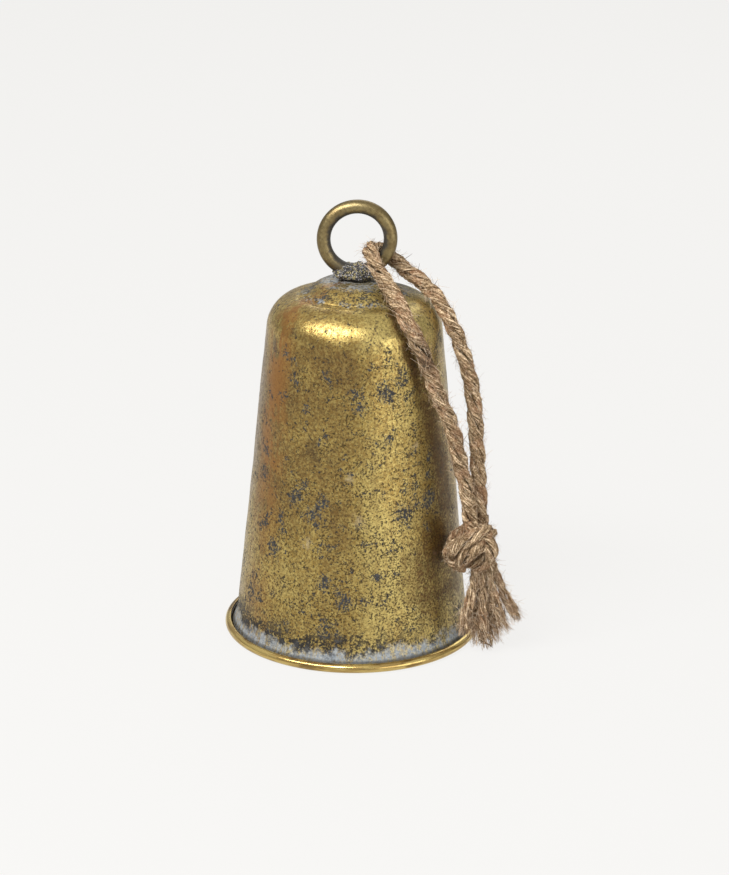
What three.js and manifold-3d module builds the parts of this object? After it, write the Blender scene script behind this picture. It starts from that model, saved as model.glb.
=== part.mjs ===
// A yard dinner bell: a tall tapered sheet-metal shell with a rolled rim, a domed cap brazed into its
// top, a hanging ring welded to the cap, a ball clapper on a chain link inside, and a rope threaded
// through the ring, its two legs knotted together above a frayed tassel.
// Millimetres, +Z up. The origin is on the bell's axis in the plane of the rim it stands on.

import * as THREE from "three";
import { mergeVertices } from "three/addons/utils/BufferGeometryUtils.js";
import Module from "manifold-3d";

const wasm = await Module();
wasm.setup();

// ---------------------------------------------------------------- driving dimensions

const GAP = 0.3; // left between pieces that touch
const SIDES = 40; // facets round the bell

// shell
const SHEET = 1.0; // thickness of the shell's metal
const MOUTH_RADIUS = 64.2; // outside of the straight wall, carried down to the rim plane
const TAPER = 0.1006; // radius lost for each millimetre of height
const SHOULDER_HEIGHT = 189.6; // top of the shell, where the cap sits
const SHOULDER_RADIUS = 18.8; // outside radius of the rounded shoulder

// rolled rim
const CURL_RADIUS = 2.45; // outside radius of the rolled edge
const FLARE = 0.9; // how far the wall sweeps out to meet the curl
const FLARE_HEIGHT = 16; // where the wall starts to sweep outwards
const FLARE_CURVE = 1.9; // above 1 the flare steepens as it nears the curl
const CURL_SIDES = 12;
const CURL_START = 195; // degrees, where the rolled edge takes over from the flare
const CURL_END = 105; // degrees, where the rolled edge stops above its wire

// cap
const CAP_SHEET = 1.2;
const CAP_RISE = 7.6; // top of the cap above the shell's top
const CAP_SLOPE_WIDTH = 8.6; // from the cap's edge in to where its flat top begins
const CAP_LAP = 4.1; // how far the cap covers the shell round the hole
const CAP_FULLNESS = 0.46; // share of the rise that the cap has half way up its slope
const BRAZE_WIDTH = 3; // of the filler, outwards from the crease

// hanging ring
const RING_RADIUS = 17.6; // to the middle of the rod
const RING_ROD_RADIUS = 3.68;
const RING_BED = 1.25; // weld metal between the cap and the ring
const RING_OFFSET = 0.8; // the ring was welded slightly off the axis
const WELD_HALF_LENGTH = 13; // of the lump that buries the ring's lowest part
const WELD_SIDE = 2.6; // weld metal beside the rod
const WELD_COVER = 1.7; // weld metal over the rod

// clapper and what it hangs on
const STAPLE_ROD_RADIUS = 2.5;
const STAPLE_HALF_WIDTH = 8;
const STAPLE_DROP = 13.2; // from the cap's underside to the middle of the staple's bar
const STAPLE_BEND = 4;
const STAPLE_WELD_LEG = 2.4; // width and height of the fillet round each leg
const FILLET_HOLLOW = 0.4; // share of the leg that its hollow face is out from the corner
const LINK_ROD_RADIUS = 2;
const LINK_PLAY = 1; // beside the thicker of the two rods that go through the link
const LINK_LENGTH = 24.3; // between the rod's middle at the top and at the bottom
const EYE_ROD_RADIUS = 2.5; // the clapper's shank and the eye bent in its end
const EYE_PLAY = 1.5; // slack of the link's rod in the eye
const EYE_START = -42; // degrees, where the open end of the eye is
const EYE_SWEEP = 280; // degrees, from there round to the shank
const EYE_STEPS = 11;
const CLAPPER_LENGTH = 130; // from the pivot to the ball's centre
const BALL_RADIUS = 15;
const FOOT_LIP = 1.9; // how far the head hammered on the shank's lower end stands out
const FOOT_HEIGHT = 4;
const FOOT_TIP = 0.75; // share of the head's radius that its flat underside has
const BALL_WELD_LEG = 2.8; // width and height of the fillet on top of the ball

// rope
const ROPE_RADIUS = 4;
const STRAND_RADIUS = 1.85;

// the rope's middle, from the knot up over the front of the ring, through it and down behind
const ROPE_ROUTE = [
  [62.6, -38.9, 76.7], [59.8, -38.7, 95], [55.9, -39, 110.2], [52.6, -39.4, 125], [48.7, -39.7, 136],
  [44.7, -40, 144.5], [40.2, -40.2, 156.8], [36, -40.3, 168.2], [32, -40.1, 176.6], [28.7, -38.9, 182.7],
  [25.6, -35.6, 188.2], [22.9, -29.4, 192.6], [20.2, -22.8, 195.9], [17.1, -17.4, 199.3],
  [13.4, -12.9, 203.8], [10.2, -9.6, 208.6], [8.2, -5, 212.4], [7.8, 0.4, 213.6], [9.8, 5.6, 213.2],
  [13.6, 8.6, 211.2], [17.6, 9, 208.6], [21.2, 8.4, 205.6], [24.8, 7.4, 202.7], [28.8, 6.2, 199.8],
  [33, 4.8, 197], [37.1, 2.8, 194.1], [41.1, -0.4, 191], [44.6, -5, 187.5], [48.7, -8.6, 181.2],
  [53.6, -10.4, 171.5], [57.7, -12, 160.7], [60.9, -13.6, 150.1], [63.1, -15, 139.8], [64.3, -18.6, 130],
  [65.2, -22.2, 120.2], [65.9, -25.8, 109.8], [66.6, -28.8, 98], [67.4, -31, 86.5], [68.1, -32, 76.1],
];

const KNOT_CENTRE = [62.9, -36.2, 61.4];
const KNOT_SIZE = [13.9, 12.4, 14.3]; // half lengths along X, Y and Z

// each strand of the tassel, from under the knot to its frayed end
const TASSEL_ROUTES = [
  [[65.6, -39.2, 45.6], [63.4, -40.8, 34], [60.6, -42, 22], [59.6, -41.8, 11.5]],
  [[68, -35, 45.4], [66.9, -36.6, 31], [66.4, -38, 17], [68, -38.4, 4.2]],
  [[70.2, -39.4, 46.4], [70.6, -40.6, 32], [71.4, -40.4, 17], [73.4, -38.8, 2.6]],
  [[72.6, -35, 47.2], [73.8, -35, 33], [76.2, -35.2, 18], [78.6, -35.6, 4.4]],
  [[74.4, -39.2, 48.8], [76.6, -39.8, 36], [80, -39.6, 23.4], [83.8, -38.8, 12.6]],
  [[76.8, -35.2, 51.4], [80.4, -35.2, 40], [85.2, -35.6, 28], [90, -36, 17.6]],
];

// ---------------------------------------------------------------- sizes that follow from them

const wallRadius = (height) => MOUTH_RADIUS - TAPER * height;
const wallSlope = Math.atan(TAPER);
const curlCentre = [MOUTH_RADIUS + FLARE + CURL_RADIUS, CURL_RADIUS];
const shoulderCentreHeight = SHOULDER_HEIGHT - SHOULDER_RADIUS;
const creaseRadius = wallRadius(shoulderCentreHeight) - SHOULDER_RADIUS / Math.cos(wallSlope);

const capEdgeRadius = creaseRadius - GAP;
const capFlatRadius = creaseRadius - CAP_SLOPE_WIDTH;
const capHoleRadius = creaseRadius - CAP_LAP;
const capTop = SHOULDER_HEIGHT + CAP_RISE;
const capDip = CAP_RISE * 0.06; // the cap's top falls this much out to capDipRadius
const capDipRadius = capFlatRadius * 0.75;
const capShoulderDrop = 3 * capDip; // and this much out to where its slope begins
const capUnderside = capTop - CAP_SHEET;
const ringCentreHeight = capTop + RING_BED + RING_ROD_RADIUS + RING_RADIUS;

// the cap's underside, from the axis out to its foot on the shell
const capInside = [
  [0, capUnderside],
  [capDipRadius, capUnderside - capDip],
  [capFlatRadius - CAP_SHEET / 2, capUnderside - capShoulderDrop],
  [capEdgeRadius - 2 * CAP_SHEET, SHOULDER_HEIGHT + GAP],
];

/** Height of the cap's underside at a radius. */
function capInsideHeight(radius) {
  const outer = capInside.findIndex(([r]) => r > radius);
  const [[r0, z0], [r1, z1]] = [capInside[outer - 1], capInside[outer]];
  return z0 + ((z1 - z0) * (radius - r0)) / (r1 - r0);
}

const stapleWeldInner = STAPLE_ROD_RADIUS + GAP;
const stapleWeldOuter = stapleWeldInner + STAPLE_WELD_LEG;
const stapleTop = capInsideHeight(STAPLE_HALF_WIDTH + stapleWeldOuter) - GAP;
const stapleBarHeight = capUnderside - STAPLE_DROP;
const linkHalfWidth = LINK_ROD_RADIUS + Math.max(STAPLE_ROD_RADIUS, EYE_ROD_RADIUS) + LINK_PLAY;
const linkTopHeight = stapleBarHeight + STAPLE_ROD_RADIUS + GAP + LINK_ROD_RADIUS;
const pivotHeight = linkTopHeight - LINK_LENGTH;
const eyeTopHeight = pivotHeight + LINK_ROD_RADIUS + GAP + EYE_ROD_RADIUS;
const eyeRadius = EYE_ROD_RADIUS + LINK_ROD_RADIUS + EYE_PLAY;
const eyeCentreHeight = eyeTopHeight - eyeRadius;
const ballCentreHeight = pivotHeight - CLAPPER_LENGTH;
const boreRadius = EYE_ROD_RADIUS + GAP;
const footRadius = EYE_ROD_RADIUS + FOOT_LIP;

// ---------------------------------------------------------------- materials

const paint = (colour, roughness, metalness) =>
  new THREE.MeshStandardMaterial({ color: colour, roughness, metalness });

const gilding = () => paint(0x9a7a32, 0.45, 0.85);
const wornBrass = () => paint(0x8a7040, 0.35, 0.9);
const scaledSteel = () => paint(0x4a4742, 0.6, 0.8);
const weldMetal = () => paint(0x4f4a44, 0.75, 0.6);
const jute = () => paint(0x8f6f52, 0.95, 0);

// ---------------------------------------------------------------- geometry helpers

const radians = (degrees) => (degrees * Math.PI) / 180;

/** Points on an arc in the (radius, height) plane, angles in degrees from outwards. */
function arc([centreRadius, centreHeight], radius, from, to, steps) {
  return Array.from({ length: steps + 1 }, (_, i) => {
    const angle = radians(from + ((to - from) * i) / steps);
    return [centreRadius + radius * Math.cos(angle), centreHeight + radius * Math.sin(angle)];
  });
}

/** Turns an outline of (radius, height) points round the Z axis, a facet's middle facing +X. */
function turned(outline, sides = SIDES) {
  const points = outline.map(([radius, height]) => new THREE.Vector2(radius, height));
  // the faces point outwards when the outline runs up its outer side
  if (THREE.ShapeUtils.isClockWise(points)) points.reverse();
  const geometry = new THREE.LatheGeometry(points, sides, Math.PI / sides);
  return geometry.rotateX(Math.PI / 2);
}

/** The same for an outline that doesn't reach the axis: it closes on its first point. */
const turnedLoop = (outline, sides) => turned([...outline, outline[0]], sides);

/** A round rod along a curve. */
function rod(curve, radius, sides, steps) {
  const section = new THREE.Shape();
  for (let i = 0; i < sides; i += 1) {
    const angle = (2 * Math.PI * i) / sides;
    section[i ? "lineTo" : "moveTo"](radius * Math.cos(angle), radius * Math.sin(angle));
  }
  return new THREE.ExtrudeGeometry(section, { extrudePath: curve, steps, curveSegments: 1 });
}

const vector = ([x, y, z]) => new THREE.Vector3(x, y, z);
const throughPoints = (points, closed = false) =>
  new THREE.CatmullRomCurve3(points.map(vector), closed, "centripetal");

/** Geometry to a solid that can be cut and joined. */
function toSolid(geometry) {
  const bare = geometry.clone();
  bare.deleteAttribute("normal");
  bare.deleteAttribute("uv");
  const merged = mergeVertices(bare, 1e-4);
  const vertProperties = new Float32Array(merged.attributes.position.array);
  const triVerts = new Uint32Array(merged.index.array);
  return new wasm.Manifold(new wasm.Mesh({ numProp: 3, vertProperties, triVerts }));
}

function toGeometry(solid) {
  const { vertProperties, triVerts } = solid.getMesh();
  const geometry = new THREE.BufferGeometry();
  geometry.setAttribute("position", new THREE.BufferAttribute(new Float32Array(vertProperties), 3));
  geometry.setIndex(new THREE.BufferAttribute(new Uint32Array(triVerts), 1));
  geometry.computeVertexNormals();
  return geometry;
}

// ---------------------------------------------------------------- the shell and its rim

/** A circle round the curl's centre, as flats that touch it, one of them level underneath. */
function curlFlats(radius, from, to) {
  const step = 360 / CURL_SIDES;
  return arc(curlCentre, radius / Math.cos(radians(step / 2)), from, to, Math.abs(to - from) / step);
}

/** The wall, its shoulder and the flare that runs out under the wire and rolls back over it. */
function bellBody() {
  const [curlRadius] = curlCentre;
  const shoulderCentre = [creaseRadius, shoulderCentreHeight];
  const slope = (wallSlope * 180) / Math.PI;
  const flareFoot = curlRadius - CURL_RADIUS;
  const flareLean = flareFoot + SHEET - wallRadius(FLARE_HEIGHT);
  // the flare leaves the wall gently
  const flare = (shift) =>
    [0, 0.3, 0.6, 0.85].map((part) => [
      wallRadius(FLARE_HEIGHT) + flareLean * part ** FLARE_CURVE - shift,
      FLARE_HEIGHT - (FLARE_HEIGHT - CURL_RADIUS) * part,
    ]);
  return turnedLoop([
    [capHoleRadius, SHOULDER_HEIGHT],
    ...arc(shoulderCentre, SHOULDER_RADIUS, 90, slope, 6),
    ...flare(0),
    ...curlFlats(CURL_RADIUS - SHEET, CURL_START, 360 + CURL_END),
    ...curlFlats(CURL_RADIUS, 360 + CURL_END, CURL_START),
    ...flare(SHEET).reverse(),
    ...arc(shoulderCentre, SHOULDER_RADIUS - SHEET, slope, 90, 5),
    [capHoleRadius, SHOULDER_HEIGHT - SHEET],
  ]);
}

/** The stiffening wire that the rim is rolled round. */
const rimWire = () => turnedLoop(arc(curlCentre, CURL_RADIUS - SHEET - GAP, 0, -315, 7));

// ---------------------------------------------------------------- the cap, the ring and their welds

/** The cap's outside, from its lower edge to the axis, moved outwards and up by a clearance. */
function capOutside(clearance = 0) {
  return [
    [capEdgeRadius + clearance, SHOULDER_HEIGHT + 3 * GAP + clearance],
    [(capEdgeRadius + capFlatRadius) / 2 + clearance, SHOULDER_HEIGHT + CAP_RISE * CAP_FULLNESS + clearance],
    [capFlatRadius, capTop - capShoulderDrop + clearance],
    [capDipRadius, capTop - capDip + clearance],
    [0, capTop + clearance],
  ];
}

/** The domed cap, standing on the flat round the hole in the shell. */
function crownCap() {
  return turned([...capInside, [capEdgeRadius, SHOULDER_HEIGHT + GAP], ...capOutside()]);
}

/** Filler run into the crease round the cap's edge. */
function crownBraze() {
  return turnedLoop([
    [creaseRadius, SHOULDER_HEIGHT + GAP],
    [creaseRadius + BRAZE_WIDTH, SHOULDER_HEIGHT + GAP / 2],
    [creaseRadius, SHOULDER_HEIGHT + 4 * GAP],
  ]);
}

/** A torus standing in the XZ plane above the cap. */
function ringTorus(rodRadius) {
  const torus = new THREE.TorusGeometry(RING_RADIUS, rodRadius, 12, 36);
  return torus.rotateX(Math.PI / 2).translate(RING_OFFSET, 0, ringCentreHeight);
}

/** The rough lump of weld that buries the ring's lowest part and sits on the cap. */
function ringWeld() {
  const halfDepth = RING_ROD_RADIUS + WELD_SIDE;
  const halfHeight = RING_ROD_RADIUS + WELD_COVER;
  const lump = new THREE.SphereGeometry(1, 24, 14);
  lump.rotateX(Math.PI / 2);
  lump.scale(WELD_HALF_LENGTH, halfDepth, halfHeight);
  lump.translate(RING_OFFSET, 0, capTop + halfHeight - RING_BED);
  const capBlank = turned([[0, SHOULDER_HEIGHT], [creaseRadius, SHOULDER_HEIGHT], ...capOutside(GAP)]);
  return toGeometry(
    toSolid(lump).subtract(toSolid(ringTorus(RING_ROD_RADIUS + GAP))).subtract(toSolid(capBlank)),
  );
}

// ---------------------------------------------------------------- the clapper and its hangers

/** A U of rod under the cap, its bar along X. */
function clapperStaple() {
  const top = stapleTop;
  const half = STAPLE_HALF_WIDTH;
  const bar = stapleBarHeight;
  const path = new THREE.CurvePath();
  const bend = (side) =>
    new THREE.QuadraticBezierCurve3(
      vector([side * half, 0, bar + STAPLE_BEND]),
      vector([side * half, 0, bar]),
      vector([side * (half - STAPLE_BEND), 0, bar]),
    );
  const rightBend = bend(1);
  path.add(new THREE.LineCurve3(vector([-half, 0, top]), vector([-half, 0, bar + STAPLE_BEND])));
  path.add(bend(-1));
  path.add(
    new THREE.LineCurve3(vector([STAPLE_BEND - half, 0, bar]), vector([half - STAPLE_BEND, 0, bar])),
  );
  path.add(new THREE.QuadraticBezierCurve3(rightBend.v2, rightBend.v1, rightBend.v0));
  path.add(new THREE.LineCurve3(vector([half, 0, bar + STAPLE_BEND]), vector([half, 0, top])));
  return rod(path, STAPLE_ROD_RADIUS, 10, 28);
}

/** The fillet of weld round one leg of the staple, under the cap. */
function stapleWeld(side) {
  const hollow = STAPLE_WELD_LEG * FILLET_HOLLOW;
  const collar = turnedLoop(
    [
      [stapleWeldInner, stapleTop],
      [stapleWeldInner, stapleTop - STAPLE_WELD_LEG],
      [stapleWeldInner + hollow, stapleTop - hollow],
      [stapleWeldOuter, stapleTop],
    ],
    16,
  );
  return collar.translate(side * STAPLE_HALF_WIDTH, 0, 0);
}

/** The long chain link in the YZ plane that hangs on the staple's bar. */
function clapperLink() {
  const top = linkTopHeight - linkHalfWidth;
  const bottom = pivotHeight + linkHalfWidth;
  const halfTurn = (height, from) =>
    Array.from({ length: 9 }, (_, i) => {
      const angle = radians(from + (180 * i) / 8);
      return [0, linkHalfWidth * Math.cos(angle), height + linkHalfWidth * Math.sin(angle)];
    });
  const points = [...halfTurn(top, 0), ...halfTurn(bottom, 180)];
  return rod(throughPoints(points, true), LINK_ROD_RADIUS, 8, 40);
}

/** The clapper's rod: an open eye in the XZ plane, the shank, and a head that holds the ball on. */
function clapperShank() {
  const foot = ballCentreHeight - Math.sqrt(BALL_RADIUS ** 2 - footRadius ** 2) - GAP * 2;
  const eye = Array.from({ length: EYE_STEPS + 1 }, (_, i) => {
    const angle = radians(EYE_START + (EYE_SWEEP * i) / EYE_STEPS);
    return [eyeRadius * Math.cos(angle), 0, eyeCentreHeight + eyeRadius * Math.sin(angle)];
  });
  const neck = eyeCentreHeight - 2 * eyeRadius;
  const stemTop = neck + 1; // the straight stem and the bent rod run into each other
  const shank = throughPoints([...eye, [-eyeRadius * 0.15, 0, neck + eyeRadius / 2], [0, 0, neck]]);
  const stem = turned(
    [[0, foot], [EYE_ROD_RADIUS, foot], [EYE_ROD_RADIUS, stemTop], [0, stemTop]],
    10,
  );
  const head = turned(
    [
      [0, foot - FOOT_HEIGHT],
      [footRadius * FOOT_TIP, foot - FOOT_HEIGHT],
      [footRadius, foot - FOOT_HEIGHT / 2],
      [footRadius, foot],
      [0, foot],
    ],
    16,
  );
  return toGeometry(toSolid(rod(shank, EYE_ROD_RADIUS, 10, 34)).add(toSolid(stem)).add(toSolid(head)));
}

/** The ball, bored through for the shank. */
function clapperBall() {
  const start = (Math.asin(boreRadius / BALL_RADIUS) * 180) / Math.PI;
  return turnedLoop(arc([0, ballCentreHeight], BALL_RADIUS, start - 90, 90 - start, 12), 24);
}

/** The fillet of weld where the shank enters the ball. */
function clapperWeld() {
  const seat = ballCentreHeight + BALL_RADIUS + GAP;
  return turnedLoop(
    [[boreRadius, seat], [boreRadius + BALL_WELD_LEG, seat], [boreRadius, seat + BALL_WELD_LEG]],
    16,
  );
}

// ---------------------------------------------------------------- the rope

function ropeKnot() {
  const knot = new THREE.SphereGeometry(1, 20, 14).rotateX(Math.PI / 2);
  return knot.scale(...KNOT_SIZE).translate(...KNOT_CENTRE);
}

// ---------------------------------------------------------------- assembly

const bell = new THREE.Group();

function add(name, geometry, material, parent = bell) {
  const mesh = new THREE.Mesh(geometry, material);
  mesh.name = name;
  parent.add(mesh);
}

add("bell_body", bellBody(), gilding());
add("rim_wire", rimWire(), scaledSteel());
add("crown_cap", crownCap(), gilding());
add("crown_braze", crownBraze(), weldMetal());
add("hanging_ring", ringTorus(RING_ROD_RADIUS), wornBrass());
add("ring_weld", ringWeld(), weldMetal());

add("clapper_staple", clapperStaple(), scaledSteel());
add("staple_weld_left", stapleWeld(-1), weldMetal());
add("staple_weld_right", stapleWeld(1), weldMetal());
add("clapper_link", clapperLink(), scaledSteel());
add("clapper_shank", clapperShank(), scaledSteel());
add("clapper_ball", clapperBall(), scaledSteel());
add("clapper_weld", clapperWeld(), weldMetal());

const rope = new THREE.Group();
bell.add(rope);
add("rope_loop", rod(throughPoints(ROPE_ROUTE), ROPE_RADIUS, 10, 80), jute(), rope);
add("rope_knot", ropeKnot(), jute(), rope);
TASSEL_ROUTES.forEach((route, i) => {
  add(`tassel_strand_${i + 1}`, rod(throughPoints(route), STRAND_RADIUS, 8, 10), jute(), rope);
});

export default bell;
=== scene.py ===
"""The looks of the yard dinner bell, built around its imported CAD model. Metres, +Z up."""

import math
import random
from types import SimpleNamespace

import bpy
import numpy as np
from mathutils import Matrix, Vector, noise


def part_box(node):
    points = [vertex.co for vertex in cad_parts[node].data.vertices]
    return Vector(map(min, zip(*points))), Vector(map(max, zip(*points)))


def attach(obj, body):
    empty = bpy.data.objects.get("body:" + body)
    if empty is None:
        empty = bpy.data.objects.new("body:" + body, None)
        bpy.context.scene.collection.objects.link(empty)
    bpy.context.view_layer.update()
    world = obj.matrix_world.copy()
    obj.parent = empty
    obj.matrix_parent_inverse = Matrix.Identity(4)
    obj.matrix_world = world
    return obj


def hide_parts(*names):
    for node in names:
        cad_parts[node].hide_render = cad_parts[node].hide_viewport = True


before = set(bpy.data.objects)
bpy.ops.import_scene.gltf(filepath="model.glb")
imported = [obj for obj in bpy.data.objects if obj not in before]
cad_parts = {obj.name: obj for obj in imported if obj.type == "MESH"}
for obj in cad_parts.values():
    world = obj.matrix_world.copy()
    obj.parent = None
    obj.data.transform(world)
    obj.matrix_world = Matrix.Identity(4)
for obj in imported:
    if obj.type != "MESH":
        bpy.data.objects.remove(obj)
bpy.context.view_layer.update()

MM = 0.001
SEED = 7

# ------------------------------------------------------------------ sizes, most of them from the frame

CAD_SIDES = 40  # facets round the CAD shell, whose corners lie on the true circle
to_corner = 1 / math.cos(math.pi / CAD_SIDES)

_, body_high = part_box("bell_body")
rim_radius = body_high.x * to_corner
shoulder_height = body_high.z
cap_low, cap_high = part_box("crown_cap")
cap_edge = cap_high.x * to_corner
cap_top = cap_high.z
ring_low, ring_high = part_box("hanging_ring")
ring_rod = (ring_high.y - ring_low.y) / 2
ring_centre = (ring_low + ring_high) / 2
ring_radius = (ring_high.x - ring_low.x) / 2 - ring_rod

SHEET = 1.0 * MM
TAPER = 0.1006
MOUTH_RADIUS = 64.2 * MM
SHOULDER_RADIUS = 18.8 * MM
CURL_RADIUS = 2.45 * MM
CURL_END = 465  # degrees, where the rolled edge stops, past a full turn above its wire
FLARE_HEIGHT = 16 * MM
CAP_LAP = 4.1 * MM
CAP_SHEET = 1.2 * MM
GAP = 0.3 * MM

wall_slope = math.atan(TAPER)
curl_centre = (rim_radius - CURL_RADIUS, CURL_RADIUS)
shoulder_centre = (cap_edge + GAP, shoulder_height - SHOULDER_RADIUS)


def wall_radius(height):
    return MOUTH_RADIUS - TAPER * height


# ------------------------------------------------------------------ camera, light and floor

CAMERA_PLACE = Vector((0, -1.3473, 0.5777))
CAMERA_PITCH = math.radians(19.19)  # below level
CAMERA_YAW = math.radians(0.25)
CAMERA_ROLL = math.radians(0.646)
CAMERA_LENS = 108.4
FLOOR_GLOW = 0.835  # light the floor gives off itself, which keeps it even and its shadows faint


def add_camera():
    data = bpy.data.cameras.new("camera")
    data.lens = CAMERA_LENS
    data.sensor_width = 36
    data.dof.use_dof = False
    camera = bpy.data.objects.new("camera", data)
    turn = Matrix.Rotation(-CAMERA_YAW, 4, "Z") @ Matrix.Rotation(math.pi / 2 - CAMERA_PITCH, 4, "X")
    camera.matrix_world = Matrix.Translation(CAMERA_PLACE) @ turn @ Matrix.Rotation(CAMERA_ROLL, 4, "Z")
    bpy.context.scene.collection.objects.link(camera)
    bpy.context.scene.camera = camera


def add_softbox(name, place, target, size, watts):
    data = bpy.data.lights.new(name, "AREA")
    data.shape = "RECTANGLE"
    data.size, data.size_y = size
    data.energy = watts
    light = bpy.data.objects.new(name, data)
    light.location = place
    aim = Vector(target) - Vector(place)
    light.rotation_euler = aim.to_track_quat("-Z", "Y").to_euler()
    bpy.context.scene.collection.objects.link(light)


def add_world():
    world = bpy.data.worlds.new("studio")
    bpy.context.scene.world = world
    world.use_nodes = True
    nodes, links = world.node_tree.nodes, world.node_tree.links
    background = nodes["Background"]
    place = nodes.new("ShaderNodeTexCoord")
    split = nodes.new("ShaderNodeSeparateXYZ")
    ramp = nodes.new("ShaderNodeValToRGB")
    links.new(place.outputs["Generated"], split.inputs[0])
    links.new(split.outputs["Z"], ramp.inputs[0])
    links.new(ramp.outputs[0], background.inputs["Color"])
    stops = ramp.color_ramp.elements
    stops[0].position, stops[0].color = 0.0, (0.30, 0.30, 0.30, 1)
    stops[1].position, stops[1].color = 0.8, (0.75, 0.75, 0.74, 1)
    background.inputs["Strength"].default_value = 1.0


def add_floor():
    half = 40.0
    mesh = bpy.data.meshes.new("floor")
    corners = [(-half, -half, 0), (half, -half, 0), (half, half, 0), (-half, half, 0)]
    mesh.from_pydata(corners, [], [(0, 1, 2, 3)])
    floor = bpy.data.objects.new("floor", mesh)
    bpy.context.scene.collection.objects.link(floor)
    material = bpy.data.materials.new("floor")
    material.use_nodes = True
    inputs = material.node_tree.nodes["Principled BSDF"].inputs
    inputs["Base Color"].default_value = (0.055, 0.055, 0.055, 1)
    inputs["Roughness"].default_value = 0.9
    inputs["Specular IOR Level"].default_value = 0.0
    inputs["Emission Color"].default_value = (1.0, 0.99, 0.97, 1)
    inputs["Emission Strength"].default_value = FLOOR_GLOW
    mesh.materials.append(material)


bpy.context.scene.view_settings.view_transform = "Standard"
add_camera()
add_world()
add_floor()
add_softbox("key", (-0.58, -0.80, 1.22), (0, 0, 0.12), (1.25, 0.34), 31)
add_softbox("right_fill", (1.25, -1.25, 0.35), (0, 0, 0.1), (1.4, 0.9), 10)
add_softbox("back_light", (0.3, 1.4, 1.2), (0, 0, 0.1), (1.2, 0.8), 6)

# ------------------------------------------------------------------ mesh helpers


def new_object(name, verts, faces):
    mesh = bpy.data.meshes.new(name)
    mesh.from_pydata([tuple(v) for v in verts], [], [tuple(f) for f in faces])
    mesh.validate()
    mesh.shade_smooth()
    piece = bpy.data.objects.new(name, mesh)
    bpy.context.scene.collection.objects.link(piece)
    return piece


def place(piece, body, slot, material, *nodes):
    """Gives a finished piece its material and its body, and hides the CAD nodes it stands for; its slot is
    not used.
    """
    piece.data.materials.append(material)
    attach(piece, body)
    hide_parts(*nodes)
    return piece


def arc(centre, radius, start, end, steps):
    """Points on an arc in the (radius, height) plane, angles in degrees."""
    angles = np.radians(np.linspace(start, end, steps + 1))
    return [(centre[0] + radius * math.cos(a), centre[1] + radius * math.sin(a)) for a in angles]


def line(start, end, steps):
    """Points from start up to but not including end."""
    return [tuple(np.array(start) + (np.array(end) - np.array(start)) * i / steps) for i in range(steps)]


def turned(name, outline, segments, closed=True, shift=None):
    """Turns an outline of (radius, height) points, its outer side running up, round the Z axis.
    shift(x, y, z, i) moves the vertex that outline point i makes."""
    verts, rows = [], []
    for i, (radius, height) in enumerate(outline):
        count = 1 if radius < 1e-7 else segments  # a point on the axis is one vertex
        rows.append([len(verts) + j for j in range(count)])
        for j in range(count):
            angle = 2 * math.pi * j / segments
            x, y = radius * math.cos(angle), radius * math.sin(angle)
            verts.append(shift(x, y, height, i) if shift else (x, y, height))
    faces = []
    pairs = list(zip(rows, rows[1:] + rows[:1])) if closed else list(zip(rows, rows[1:]))
    for low, high in pairs:
        for j in range(segments):
            k = (j + 1) % segments
            ring = [low[j % len(low)], low[k % len(low)], high[k % len(high)], high[j % len(high)]]
            corners = list(dict.fromkeys(ring))
            if len(corners) > 2:
                faces.append(corners)
    return new_object(name, verts, faces)


def smooth_route(points, spacing):
    """Even steps along a centripetal Catmull-Rom curve through the points."""
    p = [np.array(q, float) for q in points]
    p = [2 * p[0] - p[1], *p, 2 * p[-1] - p[-2]]
    out = []
    for a, b, c, d in zip(p, p[1:], p[2:], p[3:]):
        t0 = 0.0
        t1 = t0 + math.sqrt(np.linalg.norm(b - a))
        t2 = t1 + math.sqrt(np.linalg.norm(c - b))
        t3 = t2 + math.sqrt(np.linalg.norm(d - c))
        for t in np.linspace(t1, t2, 24, endpoint=False):
            ab = (t1 - t) / (t1 - t0) * a + (t - t0) / (t1 - t0) * b
            bc = (t2 - t) / (t2 - t1) * b + (t - t1) / (t2 - t1) * c
            cd = (t3 - t) / (t3 - t2) * c + (t - t2) / (t3 - t2) * d
            abc = (t2 - t) / (t2 - t0) * ab + (t - t0) / (t2 - t0) * bc
            bcd = (t3 - t) / (t3 - t1) * bc + (t - t1) / (t3 - t1) * cd
            out.append((t2 - t) / (t2 - t1) * abc + (t - t1) / (t2 - t1) * bcd)
    out.append(p[-2])
    out = np.array(out)
    gone = np.concatenate([[0], np.cumsum(np.linalg.norm(np.diff(out, axis=0), axis=1))])
    count = max(2, round(gone[-1] / spacing))
    wanted = np.linspace(0, gone[-1], count + 1)
    return np.stack([np.interp(wanted, gone, out[:, k]) for k in range(3)], 1), wanted


def frames_along(path):
    """Tangents and two normals at each point, carried along without twist."""
    tangent = np.gradient(path, axis=0)
    tangent /= np.linalg.norm(tangent, axis=1)[:, None]
    side = np.cross(tangent[0], (0.0, 0.0, 1.0))
    if np.linalg.norm(side) < 0.1:
        side = np.cross(tangent[0], (0.0, 1.0, 0.0))
    normals = []
    for t in tangent:
        side = side - t * (side @ t)
        side /= np.linalg.norm(side)
        normals.append(side.copy())
    normal = np.array(normals)
    return tangent, normal, np.cross(tangent, normal)


def grid_faces(rows, columns, closed=False):
    """Quads of a grid whose columns run round, and whose rows do too if it is closed."""
    faces = []
    for i in range(rows if closed else rows - 1):
        for j in range(columns):
            k, up = (j + 1) % columns, (i + 1) % rows
            faces.append((i * columns + j, i * columns + k, up * columns + k, up * columns + j))
    return faces


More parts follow.
